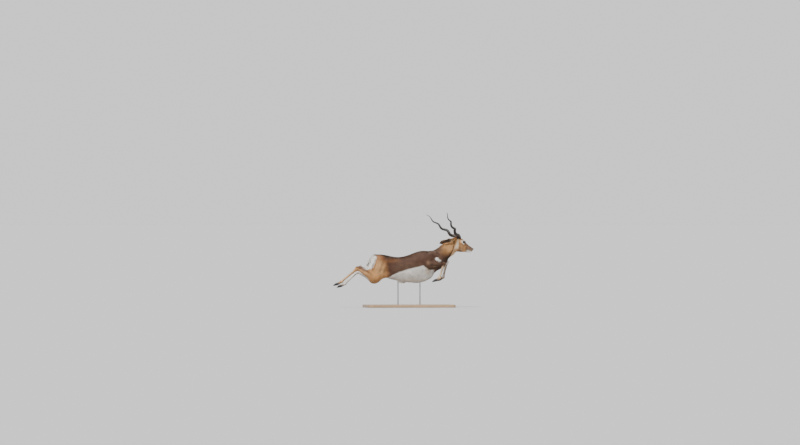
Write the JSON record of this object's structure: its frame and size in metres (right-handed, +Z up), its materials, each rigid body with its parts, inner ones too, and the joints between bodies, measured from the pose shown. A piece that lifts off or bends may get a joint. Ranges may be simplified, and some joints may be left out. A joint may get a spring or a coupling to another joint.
{
  "type": "blackbuck",
  "caption": "Life-size male blackbuck model caught in mid leap, spiral horns laid back, legs folded, held over a flat base on steel rods.",
  "frame": {"origin": "middle of the bounding box at the underside of the stand's base, on the floor", "axes": "+X towards the animal's nose, +Y to the animal's left, +Z up"},
  "size_m": [1.5136, 0.46, 0.988],
  "materials": {
    "coat_dark": "short dark brown hair",
    "coat_tan": "short tan brown hair",
    "coat_pale": "short pale hair",
    "horn": "ringed dull horn",
    "hoof": "dull black hoof",
    "eye": "wet dark gloss",
    "stand_wood": "oiled",
    "stand_steel": "brushed"
  },
  "bodies": {
    "root": {"torso": "coat_dark", "neck": "coat_tan", "head": "coat_pale", "ear_right": "coat_tan", "ear_left": "coat_tan", "eye_right": "eye", "eye_left": "eye", "horn_right": "horn", "horn_left": "horn", "tail": "coat_dark", "foreleg_upper_right": "coat_tan", "foreleg_upper_left": "coat_tan", "foreleg_lower_right": "coat_tan", "foreleg_lower_left": "coat_tan", "hindleg_upper_right": "coat_tan", "hindleg_upper_left": "coat_tan", "hindleg_lower_right": "coat_tan", "hindleg_lower_left": "coat_tan", "stand_base": "stand_wood", "stand_rod_front": "stand_steel", "stand_rod_rear": "stand_steel", "hoof_fore_right_inner": "hoof", "hoof_fore_right_outer": "hoof", "hoof_fore_left_inner": "hoof", "hoof_fore_left_outer": "hoof", "hoof_hind_right_inner": "hoof", "hoof_hind_right_outer": "hoof", "hoof_hind_left_inner": "hoof", "hoof_hind_left_outer": "hoof"}
  },
  "joints": []
}
